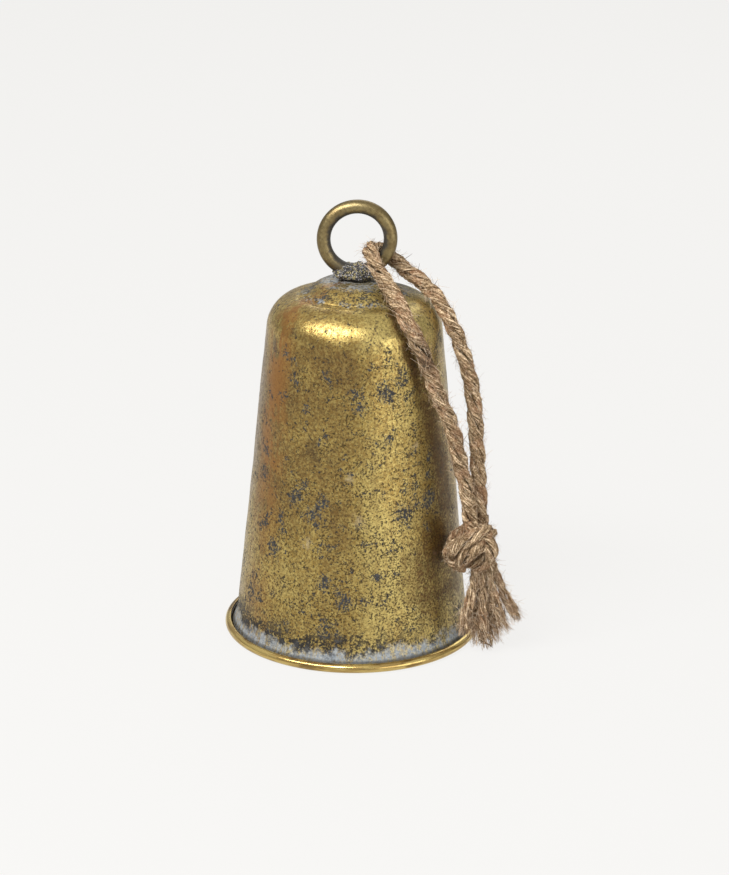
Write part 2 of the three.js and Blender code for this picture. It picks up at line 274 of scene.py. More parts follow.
class Soup:
    """Gathers many small closed forms into one mesh, with a fibre map and a shade for each vertex, which the
    jute material paints as shade.
    """

    def __init__(self):
        self.verts, self.faces, self.fibre, self.shade = [], [], [], []
        self.count = 0

    def add(self, verts, faces, fibre, shade):
        self.verts.append(verts)
        self.faces += [tuple(i + self.count for i in face) for face in faces]
        self.fibre.append(fibre)
        self.shade.append(shade)
        self.count += len(verts)

    def tube(self, rings, fibre, shade):
        """rings is an array (steps, sides, 3); both ends are closed by a point in the middle."""
        steps, sides, _ = rings.shape
        verts = rings.reshape(-1, 3)
        ends = np.stack([rings[0].mean(0), rings[-1].mean(0)])
        faces = grid_faces(steps, sides)
        first, last = steps * sides, steps * sides + 1
        for j in range(sides):
            k = (j + 1) % sides
            faces.append((first, k, j))
            faces.append((last, (steps - 1) * sides + j, (steps - 1) * sides + k))
        fibre = np.concatenate([fibre.reshape(-1, 2), fibre[0, :1], fibre[-1, :1]])
        shade = np.concatenate([shade.reshape(-1), shade[0, :1], shade[-1, :1]])
        self.add(np.concatenate([verts, ends]), faces, fibre, shade)

    def to_object(self, name):
        piece = new_object(name, np.concatenate(self.verts), self.faces)
        mesh = piece.data
        fibre, shade = np.concatenate(self.fibre), np.concatenate(self.shade)
        corners = np.zeros(len(mesh.loops), int)
        mesh.loops.foreach_get("vertex_index", corners)
        layer = mesh.uv_layers.new(name="fibre")
        layer.data.foreach_set("uv", fibre[corners].astype(np.float32).ravel())
        mesh.attributes.new("shade", "FLOAT", "POINT").data.foreach_set("value", shade.astype(np.float32))
        return piece


# ------------------------------------------------------------------ the rope

ROPE_DIAMETER = 8 * MM
ROPE_LAY = 38 * MM
ROPE_ROUTE = [
    (62.6, -38.9, 76.7), (59.8, -38.7, 95), (55.9, -39, 110.2), (52.6, -39.4, 125), (48.7, -39.7, 136),
    (44.7, -40, 144.5), (40.2, -40.2, 156.8), (36, -40.3, 168.2), (32, -40.1, 176.6), (28.7, -38.9, 182.7),
    (25.6, -35.6, 188.2), (22.9, -29.4, 192.6), (20.2, -22.8, 195.9), (17.1, -17.4, 199.3),
    (13.4, -12.9, 203.8), (10.2, -9.6, 208.6), (8.2, -5, 212.4), (7.8, 0.4, 213.6), (9.8, 5.6, 213.2),
    (13.6, 8.6, 211.2), (17.6, 9, 208.6), (21.2, 8.4, 205.6), (24.8, 7.4, 202.7), (28.8, 6.2, 199.8),
    (33, 4.8, 197), (37.1, 2.8, 194.1), (41.1, -0.4, 191), (44.6, -5, 187.5), (48.7, -8.6, 181.2),
    (53.6, -10.4, 171.5), (57.7, -12, 160.7), (60.9, -13.6, 150.1), (63.1, -15, 139.8), (64.3, -18.6, 130),
    (65.2, -22.2, 120.2), (65.9, -25.8, 109.8), (66.6, -28.8, 98), (67.4, -31, 86.5), (68.1, -32, 76.1),
]
TASSEL_ROUTES = [
    [(65.6, -39.2, 45.6), (63.4, -40.8, 34), (60.6, -42, 22), (59.6, -41.8, 11.5)],
    [(68, -35, 45.4), (66.9, -36.6, 31), (66.4, -38, 17), (68, -38.4, 4.2)],
    [(70.2, -39.4, 46.4), (70.6, -40.6, 32), (71.4, -40.4, 17), (73.4, -38.8, 2.6)],
    [(72.6, -35, 47.2), (73.8, -35, 33), (76.2, -35.2, 18), (78.6, -35.6, 4.4)],
    [(74.4, -39.2, 48.8), (76.6, -39.8, 36), (80, -39.6, 23.4), (83.8, -38.8, 12.6)],
    [(76.8, -35.2, 51.4), (80.4, -35.2, 40), (85.2, -35.6, 28), (90, -36, 17.6)],
]

chance = random.Random(SEED)


def rings_round(path, normal, other, a, b):
    """Rings of points round a path, a and b from it along its two normals."""
    return path[:, None, :] + a[..., None] * normal[:, None, :] + b[..., None] * other[:, None, :]


def metres(points):
    return [tuple(c * MM for c in p) for p in points]


def wavy(along, seed, size, amount):
    """A slow even wander of a number along a length."""
    return np.array([noise.noise(Vector((s / size, seed * 3.7, 0.5))) * amount for s in along])


def nap(along, across, over):
    """The small unevenness of a strand's surface."""
    return noise.noise(Vector((along / (1.2 * MM), across, over)))


def lay_rope(soup, path, along, radius, lay, phase=0.0, sides=26, yarns=6):
    """Three strands laid round each other along a path, each with its yarns showing."""
    _, normal, other = frames_along(path)
    offset = radius * 0.47  # of each strand's middle from the rope's
    strand = radius * 0.59
    half_wedge = math.radians(61)  # what each strand may fill between its two neighbours
    local = np.linspace(0, 2 * math.pi, sides, endpoint=False)
    for k in range(3):
        swing = wavy(along, k + phase, 14 * MM, 0.4)
        turn = 2 * math.pi * (k / 3 - along / lay) + phase + swing
        swell = 1 + wavy(along, 9 + k + phase, 5 * MM, 0.16) + wavy(along, 19 + k, 1.6 * MM, 0.07)
        ridge = 0.055 * radius * np.cos(yarns * local[None, :] - along[:, None] * 2 * math.pi / (6 * MM))
        rough = np.array([
            [nap(s, 2.2 * math.cos(c) + k * 7, 2.2 * math.sin(c) + phase) for c in local] for s in along
        ])
        reach = (strand * swell)[:, None] + ridge + rough * 0.085 * radius
        out = offset + reach * np.cos(local)[None, :]
        across = reach * np.sin(local)[None, :]
        # a strand is pressed flat against its two neighbours
        limit = np.maximum(out, 0.02 * radius) * math.tan(half_wedge)
        across = np.clip(across, -limit, limit)
        out = np.maximum(out, 0.03 * radius)
        cos, sin = np.cos(turn)[:, None], np.sin(turn)[:, None]
        a, b = out * cos - across * sin, out * sin + across * cos
        u = np.broadcast_to(along[:, None] + 0.11 * k, a.shape)
        v = np.broadcast_to(local[None, :] * strand + 0.013 * k, a.shape) + along[:, None] * 0.22
        # the shade kept for each vertex is painted shade: darker towards the rope's core, between the strands
        depth = np.hypot(a, b) / radius
        rings = rings_round(path, normal, other, a, b)
        soup.tube(rings, np.stack([u, v], -1), np.clip((depth - 0.55) / 0.45, 0, 1))


def hair(soup, root, start, length, thickness, droop, tone):
    """One loose fibre: a thin three-sided tapering tube that curls away from its root."""
    steps = 6
    direction = Vector(start).normalized()
    bend = Vector((chance.gauss(0, 1), chance.gauss(0, 1), chance.gauss(0, 1) - droop)) * 0.5
    points = [Vector(root)]
    for _ in range(steps - 1):
        direction = (direction + bend / steps).normalized()
        points.append(points[-1] + direction * (length / (steps - 1)))
    path = np.array([tuple(p) for p in points])
    _, normal, other = frames_along(path)
    size = thickness * np.linspace(1, 0.35, steps)[:, None]
    angle = np.array([0, 2.094, 4.189])
    a, b = size * np.cos(angle), size * np.sin(angle)
    fibre = np.full((steps, 3, 2), tone)
    soup.tube(rings_round(path, normal, other, a, b), fibre, np.full((steps, 3), 0.55 + 0.45 * tone))


def fuzz(soup, path, radius, per_metre, longest, stand=0.35):
    """Loose fibres that lie along a rope or strand and stand a little off it."""
    tangent, normal, other = frames_along(path)
    total = np.linalg.norm(np.diff(path, axis=0), axis=1).sum()
    for _ in range(int(total * per_metre)):
        i = chance.randrange(1, len(path) - 1)
        angle = chance.uniform(0, 2 * math.pi)
        outward = normal[i] * math.cos(angle) + other[i] * math.sin(angle)
        sweep = normal[i] * math.sin(angle) - other[i] * math.cos(angle)
        way = 1 if chance.random() < 0.6 else -1
        wild = chance.random() < 0.2
        lift = chance.uniform(0.4, 1.3) if wild else chance.uniform(0.0, stand)
        start = tangent[i] * way + outward * lift + sweep * chance.uniform(-1.0, 0.5)
        root = path[i] + outward * radius * 0.9
        length = longest * chance.uniform(0.3, 1) ** 1.5
        hair(soup, root, start, length, chance.uniform(0.055, 0.115) * MM, 0.2, chance.random())


def place_rope(soup, name, material, *nodes):
    return place(soup.to_object(name), "rope", "jute_rope", material, *nodes)


# dark threads that curl up off the back leg: the route point they grow from, their way and their length
DARK_THREADS = [
    (20, (0.5, -0.3, 0.9), 8), (21, (-0.6, -0.3, 0.8), 7), (22, (0.9, -0.2, 0.7), 7),
    (24, (0.2, -0.2, 1.0), 6), (26, (-0.3, -0.3, 1.0), 9), (26, (0.7, -0.3, 0.8), 6),
]
MATTED_PLACE = (0.0365, -0.0435, 0.1690)  # where the front leg rubs over the shoulder


def make_rope_loop(jute, loose):
    path, along = smooth_route(metres(ROPE_ROUTE), 0.6 * MM)
    body = Soup()
    lay_rope(body, path, along, ROPE_DIAMETER / 2, ROPE_LAY)
    loop = place_rope(body, "rope_loop_laid", jute, "rope_loop")
    fluff = Soup()
    fuzz(fluff, path, ROPE_DIAMETER / 2, 9500, 8 * MM, 0.30)
    for point, way, length in DARK_THREADS:
        root = Vector(ROPE_ROUTE[point]) * MM + Vector((0, 0, 0.8 * ROPE_DIAMETER / 2))
        hair(fluff, root, way, length * MM, 0.19 * MM, 1.5, 0.0)
    fibres = place_rope(fluff, "rope_loop_fibres", loose)
    return loop, fibres, path, float(along[-1])


KNOT_CENTRE = (62.9, -36.2, 61.4)
TASSEL_ROOT = (67, -37, 60)
KNOT_PULL = 0.84  # how tight the turns are drawn in towards its centre
KNOT_ROPE_RADIUS = 3.9 * MM  # the rope is drawn a little thinner by the knot
TASSEL_SAG = 1.9 * MM
TASSEL_YARNS = 5
FRAY_HAIRS = 130
# where the rope passes in the knot: two turns round both legs, then down through them
KNOT_TURNS = {
    "front": [
        (56, -33, 50.5), (50.8, -38.2, 54), (50.6, -43.8, 59.6), (55.4, -47.6, 65.6), (62.4, -48.4, 70.2),
        (69, -46, 72.6), (74, -40.4, 71.4), (74.6, -33.6, 67.4), (69.6, -28, 62.6), (62, -26.6, 59),
    ],
    "lower": [
        (63.6, -29, 50.4), (57.4, -35, 49.4), (55.8, -42.4, 51.4), (58.6, -47, 56.4), (63.8, -48.6, 61.8),
        (68.8, -47, 65.4), (71, -41, 65),
    ],
    "right": [
        (64.6, -36, 71.6), (69.6, -42.4, 71.8), (74.2, -45.4, 66.4), (75, -45.6, 59.4), (72, -44.6, 53.2),
        (66.4, -42.6, 50.8), (60.6, -38, 51.4), (57.6, -31.6, 55), (60, -26.6, 60.6), (67, -25.6, 66),
    ],
    "left": [
        (60.4, -43.6, 50.2), (53.6, -41, 50.8), (51, -35.2, 55), (53.2, -29.4, 61), (59.4, -26, 66.6),
        (66.4, -27.4, 71), (70.6, -32.6, 72.4),
    ],
}


def make_knot(jute, loose):
    body, fluff = Soup(), Soup()
    for turn, points in enumerate(KNOT_TURNS.values()):
        drawn_in = [tuple(c + (p - c) * KNOT_PULL for p, c in zip(point, KNOT_CENTRE)) for point in points]
        path, along = smooth_route(metres(drawn_in), 0.6 * MM)
        lay_rope(body, path, along, KNOT_ROPE_RADIUS, ROPE_LAY, phase=1.3 * turn + 0.4)
        fuzz(fluff, path, KNOT_ROPE_RADIUS, 15000, 5.5 * MM, 0.22)
    # both legs run down through the middle of the knot to the tassel
    for leg, (start, end) in enumerate([(ROPE_ROUTE[0], (69, -38, 50)), (ROPE_ROUTE[-1], (72, -35, 51))]):
        middle = tuple((a + b) / 2 for a, b in zip(start, end))
        path, along = smooth_route(metres([start, middle, end]), 0.8 * MM)
        lay_rope(body, path, along, ROPE_DIAMETER / 2, ROPE_LAY, phase=2.1 * leg)
    return place_rope(body, "rope_knot_tied", jute, "rope_knot"), place_rope(fluff, "rope_knot_fibres", loose)


def make_tassel(jute, loose):
    pieces = []
    for number, route in enumerate(TASSEL_ROUTES, 1):
        root = tuple(r + 0.62 * (c - r) for r, c in zip(route[0], TASSEL_ROOT))
        neck = tuple(r + 0.34 * (c - r) for r, c in zip(route[0], TASSEL_ROOT))
        path, along = smooth_route(metres([root, neck, *route[1:]]), 0.7 * MM)
        share = along / along[-1]
        # each strand hangs a little hollow, the outer ones most
        path[:, 0] -= TASSEL_SAG * np.sin(math.pi * share) * (path[-1, 0] - path[0, 0]) / (25 * MM)
        tangent, normal, other = frames_along(path)
        strand, fluff = Soup(), Soup()
        for yarn in range(TASSEL_YARNS):
            turn = 2 * math.pi * (yarn / TASSEL_YARNS - along / (34 * MM))
            turn = turn + wavy(along, yarn + number * 5, 9 * MM, 1.6)
            spread = (1.1 + 0.95 * share**1.4) * MM * (1 + wavy(along, 31 + yarn + number, 7 * MM, 0.6))
            sideways = (np.cos(turn) * spread)[:, None] * normal + (np.sin(turn) * spread)[:, None] * other
            centre = path + sideways
            size = (1.25 - 0.45 * share) * MM * (1 + wavy(along, 57 + yarn + number, 4 * MM, 0.4))
            ending = 0.88 + 0.14 * chance.random()
            size = size * np.clip((ending - share) * 9, 0.03, 1)
            around = np.linspace(0, 2 * math.pi, 12, endpoint=False)
            ridge = 1 + 0.16 * np.cos(3 * around[None, :] + along[:, None] * 2 * math.pi / (6 * MM))
            a = size[:, None] * ridge * np.cos(around)
            b = size[:, None] * ridge * np.sin(around)
            rings = rings_round(centre, normal, other, a, b)
            u = np.broadcast_to(along[:, None] + 0.2 * yarn + number, a.shape)
            v = np.broadcast_to(around * MM, a.shape) + along[:, None] * 0.1
            strand.tube(rings, np.stack([u, v], -1), np.full(a.shape, 0.8))
            fuzz(fluff, centre[: int(len(centre) * 0.9)], float(size.mean()), 3800, 8 * MM, 0.3)
        # the end frays into single fibres
        for _ in range(FRAY_HAIRS):
            i = int(len(path) * chance.uniform(0.55, 0.97))
            angle, away = chance.uniform(0, 2 * math.pi), chance.uniform(0, 2.6) * MM
            outward = normal[i] * math.cos(angle) + other[i] * math.sin(angle)
            start = tangent[i] + outward * chance.uniform(-0.15, 0.4)
            room = max(2 * MM, along[-1] - along[i] + 1.5 * MM)
            length = min(room, 16 * MM) * chance.uniform(0.6, 1.0)
            root = path[i] + outward * away
            hair(fluff, root, start, length, chance.uniform(0.06, 0.13) * MM, 0.1, chance.random())
        name = f"tassel_strand_{number}"
        pieces.append(place_rope(strand, name + "_yarns", jute, name))
        pieces.append(place_rope(fluff, name + "_fibres", loose))
    return pieces


# ------------------------------------------------------------------ material helper


class Number:
    """A number inside a material, which can be added to, multiplied and so on."""

    def __init__(self, shader, socket):
        self.shader, self.socket = shader, socket

    def __add__(self, other):
        return self.shader.math("ADD", self, other)

    def __sub__(self, other):
        return self.shader.math("SUBTRACT", self, other)

    def __rsub__(self, other):
        return self.shader.math("SUBTRACT", other, self)

    def __mul__(self, other):
        return self.shader.math("MULTIPLY", self, other)

    def __truediv__(self, other):
        return self.shader.math("DIVIDE", self, other)

    def __abs__(self):
        return self.shader.math("ABSOLUTE", self)


class Shader:
    """A Principled material and short ways to add nodes to it. Places are object coordinates, in metres."""

    def __init__(self, name):
        self.material = bpy.data.materials.new(name)
        self.material.use_nodes = True
        self.nodes = self.material.node_tree.nodes
        self.links = self.material.node_tree.links
        self.surface = self.nodes["Principled BSDF"]
        self.place = self.nodes.new("ShaderNodeTexCoord").outputs["Object"]

    def put(self, socket, value):
        if isinstance(value, Number):
            value = value.socket
        if isinstance(value, bpy.types.NodeSocket):
            self.links.new(value, socket)
        elif isinstance(value, tuple) and socket.type == "RGBA":
            socket.default_value = (*value, 1)
        else:
            socket.default_value = value

    def node(self, kind, inputs, **settings):
        """A node of a kind, given its inputs by name or number and its settings."""
        node = self.nodes.new("ShaderNode" + kind)
        for name, value in settings.items():
            setattr(node, name, value)
        for name, value in inputs.items():
            self.put(node.inputs[name], value)
        return node

    def number(self, node, output=0):
        return Number(self, node.outputs[output])

    def math(self, operation, a, b=0.0):
        return self.number(self.node("Math", {0: a, 1: b}, operation=operation))

    def most(self, a, b):
        return self.math("MAXIMUM", a, b)

    def length(self, a, b):
        return self.math("SQRT", a * a + b * b)

    def moved(self, place=None, stretch=(1, 1, 1), shift=(0, 0, 0)):
        node = self.node("Mapping", {"Vector": place or self.place, "Location": shift, "Scale": stretch})
        return node.outputs[0]

    def noise(self, size, detail=4, roughness=0.55, stretch=(1, 1, 1), shift=0.0, place=None, bend=0.0):
        """Noise whose features are about size metres across."""
        where = self.moved(place, stretch, (shift, shift * 0.7, shift * 1.3))
        inputs = {"Vector": where, "Scale": 1 / size, "Detail": detail, "Roughness": roughness}
        return self.number(self.node("TexNoise", {**inputs, "Distortion": bend}), "Fac")

    def clouds(self, size, detail, roughness, low=0.35, **more):
        """Noise drawn out to reach from 0 to 1."""
        return self.step(self.noise(size, detail, roughness, **more), low, 1 - low)

    def cells(self, size):
        return self.node("TexVoronoi", {"Vector": self.moved(), "Scale": 1 / size})

    def distance(self, middle):
        return self.number(self.node("VectorMath", {0: self.place, 1: middle}, operation="DISTANCE"), "Value")

    def attribute(self, name):
        return self.number(self.node("Attribute", {}, attribute_name=name), "Fac")

    def step(self, value, low, high, to_low=0.0, to_high=1.0):
        """value from low to high becomes to_low to to_high, smoothly and no further."""
        inputs = {"Value": value, "From Min": low, "From Max": high, "To Min": to_low, "To Max": to_high}
        return self.number(self.node("MapRange", inputs, interpolation_type="SMOOTHSTEP"), "Result")

    def ramp(self, value, *stops):
        node = self.node("ValToRGB", {0: value})
        elements = node.color_ramp.elements
        while len(elements) < len(stops):
            elements.new(0.5)
        for element, (position, colour) in zip(elements, stops):
            element.position, element.color = position, (*colour, 1)
        return node.outputs[0]

    def mix(self, factor, a, b, blend="MIX"):
        inputs = {"Factor": factor, "A": a, "B": b}
        return self.node("Mix", inputs, data_type="RGBA", blend_type=blend).outputs["Result"]

    def blend(self, factor, a, b):
        """A number between a and b."""
        return self.number(self.node("Mix", {"Factor": factor, "A": a, "B": b}, data_type="FLOAT"), "Result")

    def xyz(self, place=None):
        node = self.node("SeparateXYZ", {0: place or self.place})
        return [self.number(node, axis) for axis in "XYZ"]

    def bump(self, *layers):
        """Each layer is (height, depth in metres)."""
        below = None
        for height, depth in layers:
            node = self.node("Bump", {"Strength": 1.0, "Distance": depth, "Height": height})
            if below is not None:
                self.put(node.inputs["Normal"], below)
            below = node.outputs[0]
        self.put(self.surface.inputs["Normal"], below)

    def finish(self, colour, metallic, roughness, specular=0.5):
        self.put(self.surface.inputs["Base Color"], colour)
        self.put(self.surface.inputs["Metallic"], metallic)
        self.put(self.surface.inputs["Roughness"], roughness)
        self.surface.inputs["Specular IOR Level"].default_value = specular
        return self.material


# ------------------------------------------------------------------ materials

GOLD = (0.34, 0.225, 0.062)
BRIGHT_GOLD = (0.60, 0.47, 0.165)
BROWN_GOLD = (0.185, 0.108, 0.036)
ORANGE = (0.30, 0.135, 0.035)
CHARCOAL = (0.018, 0.015, 0.011)
DARK_GREY = (0.050, 0.051, 0.053)
PALE_GREY = (0.29, 0.305, 0.315)
FLAKED_BROWN = (0.085, 0.055, 0.024)
PEPPER_BROWN = (0.040, 0.030, 0.016)
SCUFFED_GOLD = (0.55, 0.44, 0.25)
SMUDGE_BROWN = (0.075, 0.050, 0.030)


# marks on the wall: degrees round from the front to the right, height and reach in millimetres
WORN_PATCHES = [
    (3, 141, 8), (-30, 140, 7), (19, 148, 9), (21, 125, 7), (-35, 90, 9), (-22, 82, 11), (28, 84, 9),
    (46, 88, 9), (-46, 60, 8), (-15, 48, 8), (-3, 38, 8), (13, 51, 7), (-62, 98, 7), (150, 120, 12),
    (205, 70, 14),
]
PALE_SCUFFS = [(-2, 105, 4.5), (3, 80, 5.5), (-25, 67, 4.5), (38, 118, 4)]
SMUDGES = [(-46, 178, 6), (-62, 165, 6), (-20, 118, 9), (170, 176, 9)]


def marks(s, places, ragged):
    """1 at the middle of each mark, fading to 0 at its ragged edge."""
    found = 0.0
    for degrees, height, reach in places:
        angle = math.radians(degrees - 90)
        out = wall_radius(height * MM)
        middle = (out * math.cos(angle), out * math.sin(angle), height * MM)
        edge = s.distance(middle) + ragged * (reach * MM)
        found = s.most(s.step(edge, 1.5 * reach * MM, 0.4 * reach * MM), found)
    return found


def bell_measures(s):
    """Where a point of the bell lies, in millimetres, and the noises that its worn gilding shares."""
    m = SimpleNamespace()
    m.x, m.y, m.z = (part / MM for part in s.xyz())
    m.radius = s.most(s.length(m.x, m.y), 1.0)
    m.east = m.x / m.radius  # -1 on the left of the bell as it hangs, 1 on the right
    m.front = 0.0 - m.y / m.radius
    m.lower = s.step(m.z, 110, 40)
    m.shoulder = s.step(m.z, 165, 180) * s.step(m.radius, 30, 34)
    m.broad = s.clouds(38 * MM, 3, 0.5, stretch=(1, 1, 0.6))
    m.cloud = s.clouds(15 * MM, 5, 0.6, 0.32, shift=0.3)
    m.blot = s.clouds(8 * MM, 5, 0.62, 0.30, shift=1.1, bend=0.5)
    m.grain = s.clouds(2.0 * MM, 3, 0.7, 0.30, shift=2.2)
    m.fine = s.clouds(1.15 * MM, 2, 0.7, 0.30, shift=4.1)
    m.speck = s.clouds(1.5 * MM, 3, 0.75, 0.30, shift=6.3)
    m.scratch = s.clouds(3.0 * MM, 3, 0.7, stretch=(1, 1, 0.14), shift=5.0)
    m.flake = m.grain * 0.5 + m.fine * 0.5
    m.thick = m.blot * 0.62 + m.cloud * 0.3 + (1.0 - m.broad) * 0.08  # high where the gold is worn most
    m.ragged = m.z + (m.cloud - 0.5) * 6 + (m.grain - 0.5) * 3  # height with an uneven edge
    m.above_bead = s.step(m.radius, 66.4, 65.6)
    return m


def gold_leaf_and_painted_light(s, m):
    """Brown where thin, yellow where thick, most of it low down; painted light makes it brighter to the
    right, and a painted highlight brighter towards the shoulder top.
    """
    # the step to the right is painted light, where the right lamp's reflection falls on the wall
    leaf_and_painted_light = m.broad * 0.24 + s.step(m.east, -0.12, 0.22) * 0.37 + m.cloud * 0.22
    leaf_and_painted_light += m.lower * 0.2 + m.lower * s.step(m.east, 0.0, -0.4) * 0.18
    # painted highlight: brighter gold towards the shoulder top, under the key lamp's reflection
    leaf_and_painted_light += s.step(m.z, 165, 180) * 0.3
    gold = s.mix(s.step(leaf_and_painted_light, 0.05, 0.60), BROWN_GOLD, GOLD)
    gold = s.mix(s.step(leaf_and_painted_light, 0.45, 1.15), gold, BRIGHT_GOLD)
    glint = s.step(m.speck, 0.15, 0.95) * s.step(leaf_and_painted_light, 0.05, 0.75, 0.3, 0.8)
    gold = s.mix(glint, gold, BRIGHT_GOLD)
    gold = s.mix(s.step(m.flake, 0.30, 0.95, 0.0, 0.65), gold, FLAKED_BROWN)
    pepper = s.clouds(1.05 * MM, 2, 0.6, 0.30, shift=8.8)
    dust = pepper * 0.7 + s.step(m.east, -0.4, 0.4) * 0.06 + m.lower * 0.06 + (m.cloud + m.blot) * 0.15
    dust = s.step(dust, 0.66, 0.84) * (1.0 - m.shoulder * 0.6)
    gold = s.mix(dust * 0.85, gold, PEPPER_BROWN)
    gold = s.mix(s.step(m.scratch, 0.5, 0.9) * 0.25, gold, BROWN_GOLD)
    left = s.step(m.east, -0.6, -0.82) * s.step(m.front, 0.25, 0.5)
    left *= s.step(m.cloud + m.scratch * 0.5, 0.25, 0.95) * s.step(m.z, 60, 120, 0.35, 0.8)
    gold = s.mix(left, gold, ORANGE)
    scuff = marks(s, PALE_SCUFFS, m.blot) * s.step(m.scratch + m.grain, 0.5, 1.3)
    gold = s.mix(scuff * 0.8, gold, SCUFFED_GOLD)
    smudge = marks(s, SMUDGES, m.cloud) * s.step(m.blot + m.fine, 0.3, 1.2)
    return s.mix(smudge * 0.75, gold, SMUDGE_BROWN)


def charcoal(s, m):
    """How dark each place is and how far it is in a patch: specks, patches, a band above the rim, the cap."""
    worn = m.thick * 0.88 + marks(s, WORN_PATCHES, m.blot) * 0.52
    clear = m.shoulder * s.step(m.front, 0.2, 0.6)
    patch = s.step(worn, 0.42, 0.88) * (1.0 - clear * 0.7)
    veil = s.step(worn, 0.52, 0.95) * 0.4 * (1.0 - clear)
    dark = s.most(s.step(m.flake + patch * 0.4 + m.lower * 0.05, 0.76, 0.92), veil)
    band = s.step(m.ragged, 7, 11) * s.step(m.ragged, 26, 13) * s.step(m.east, 0.55, -0.1, 0.45, 1.0)
    dark = s.most(dark, band * s.step(m.thick * 0.5 + m.flake * 0.5, 0.35, 0.55))
    cap = s.step(m.radius, 29.5, 27.5) * s.step(m.z, 188, 189)
    cap_specks = s.step(m.flake + m.thick * 0.7, 0.85, 1.10)
    return s.most(dark, cap * (cap_specks * 0.75 + 0.12)), patch


def pale_bloom(s, m):
    """Grey bloom between the dark band and the bead."""
    wisps = s.step(m.scratch * 0.6 + m.grain * 0.4, 0.15, 0.6, 0.35, 1.0)
    return s.step(m.ragged, 12.5, 7.5) * m.above_bead * wisps


def crown_smoke(s, m):
    """The crown and the sides of the shoulder are grey with handling and smoke."""
    smoke = s.step(m.radius, 47, 32) * s.step(m.z, 176, 187) * s.step(m.front, 0.70, 0.15)
    return smoke * s.step(m.cloud + m.flake * 0.8, 0.3, 1.1)


def crown_ash(s, m):
    """Pale flux left in the cap's crease and round the weld on its top."""
    crease = s.step(abs(m.radius - 27.5), 2.6, 0.6) * s.step(m.z, 186, 188)
    crease *= s.step(m.thick + m.speck * 0.7, 0.90, 1.35, 0.0, 0.75)
    top = s.step(m.radius, 21, 15) * s.step(m.z, 192, 194)
    return s.most(crease, top * s.step(m.speck + m.blot * 0.6, 0.55, 1.15))


def rope_side(z):
    """How far right the painted shadow beside the rope's front leg lies at each height."""
    leg = np.array(ROPE_ROUTE[:12])
    gap = 6.0 + 0.06 * (leg[:, 2].max() - leg[:, 2])
    bent, straight, level = (float(c) for c in np.polyfit(leg[:, 2], leg[:, 0] - gap, 2))
    return z * z * bent + z * straight + level


def rope_shadow_paint(s, m):
    """Painted shadow and reflection of the rope beside its front leg, and of its knot where it hangs."""
    beside = abs(m.x - rope_side(m.z)) + (m.blot - 0.5) * 2.5
    width = s.step(m.z, 185, 110, 3.6, 6.8)
    # painted shadow and reflection of the front leg, a dark strip beside it
    rope_shadow = s.step(beside / width, 1.0, 0.25) * s.step(m.y, -6, -20) * s.step(m.z, 60, 85)
    # painted shade and reflection of the knot on the wall below it
    from_knot = s.length((m.x - 49) / 25, (m.z - 50) / 38) + (m.blot - 0.5) * 0.5
    knot_shadow = s.step(from_knot, 1.05, 0.45) * s.step(m.y, 0, -20) * 0.85
    return s.most(rope_shadow, knot_shadow) * s.step(m.cloud + m.fine, 0.2, 1.1, 0.45, 1.0)


def bead_gold(s, m):
    """The rolled bead's gold, drawn out along it, with a little dirt."""
    streak = s.clouds(1.3 * MM, 4, 0.6, shift=3.0, place=s.moved(stretch=(0.08, 0.08, 1)))
    gold = s.mix(s.step(streak, 0.2, 0.8), (0.56, 0.42, 0.15), (0.40, 0.27, 0.09))
    return s.mix(s.step(streak + m.cloud * 0.7, 1.25, 1.6, 0.0, 0.6), gold, (0.12, 0.07, 0.03))


def gilded_metal():
    """Worn gold leaf over dark iron: gold, specks and patches of charcoal, grey bloom at rim and crown, with
    painted light and shade: brighter gold to the right and at the shoulder, the rope's shadow, the crevice
    above the bead.
    """
    s = Shader("gilded_metal")
    m = bell_measures(s)
    dark, patch = charcoal(s, m)
    bloom, smoke, ash, rope_shadow = pale_bloom(s, m), crown_smoke(s, m), crown_ash(s, m), rope_shadow_paint(s, m)
    # painted shade in the crevice between the flare and the bead
    crevice_shade = s.step(m.z, 6.2, 4.5) * m.above_bead
    bead = s.step(m.z, 5.6, 5.0) * s.step(m.radius, 65.7, 66.2)
    inside = s.attribute("inside")
    iron = s.mix(s.step(m.cloud + m.flake, 0.6, 1.4), (0.045, 0.042, 0.040), (0.13, 0.085, 0.055))

    charred = s.mix(m.speck * s.step(patch, 0.1, 0.6), CHARCOAL, DARK_GREY)
    colour = s.mix(dark, gold_leaf_and_painted_light(s, m), charred)
    colour = s.mix(smoke * 0.7, colour, s.mix(m.speck, CHARCOAL, (0.10, 0.105, 0.11)))
    # painted shadow and reflection of the rope and its knot, dark brown on the gold
    colour = s.mix(rope_shadow * 0.84, colour, s.mix(m.grain, (0.032, 0.018, 0.009), (0.135, 0.066, 0.020)))
    colour = s.mix(ash * 0.8, colour, PALE_GREY)
    colour = s.mix(bloom * 0.9, colour, s.mix(m.speck, (0.18, 0.205, 0.23), (0.34, 0.37, 0.39)))
    # painted shade darkens the crevice above the bead
    colour = s.mix(crevice_shade * 0.7, colour, (0.05, 0.045, 0.035))
    colour = s.mix(bead, colour, bead_gold(s, m))
    colour = s.mix(inside, colour, iron)

    smooth = 1.0 - bead  # the bead is rubbed smooth and bright
    tarnish = s.most(s.most(s.most(dark, s.most(bloom, smoke)), ash * 0.8) * smooth, inside * 0.8)
    metallic = s.blend(tarnish, 0.88, 0.25)
    crease = s.step(abs(m.radius - cap_edge / MM), 4.0, 1.5) * s.step(m.z, 186, 188)
    tarnish = s.most(s.most(tarnish, rope_shadow * 0.35), crease * 0.6)
    polish = m.cloud * 0.12 + m.flake * 0.16 + 0.22
    roughness = s.blend(bead, s.blend(tarnish, polish, 0.66), 0.22)
    s.bump((m.blot * smooth, 0.07 * MM), (m.flake * smooth, 0.045 * MM))
    return s.finish(colour, metallic, roughness, 0.35)


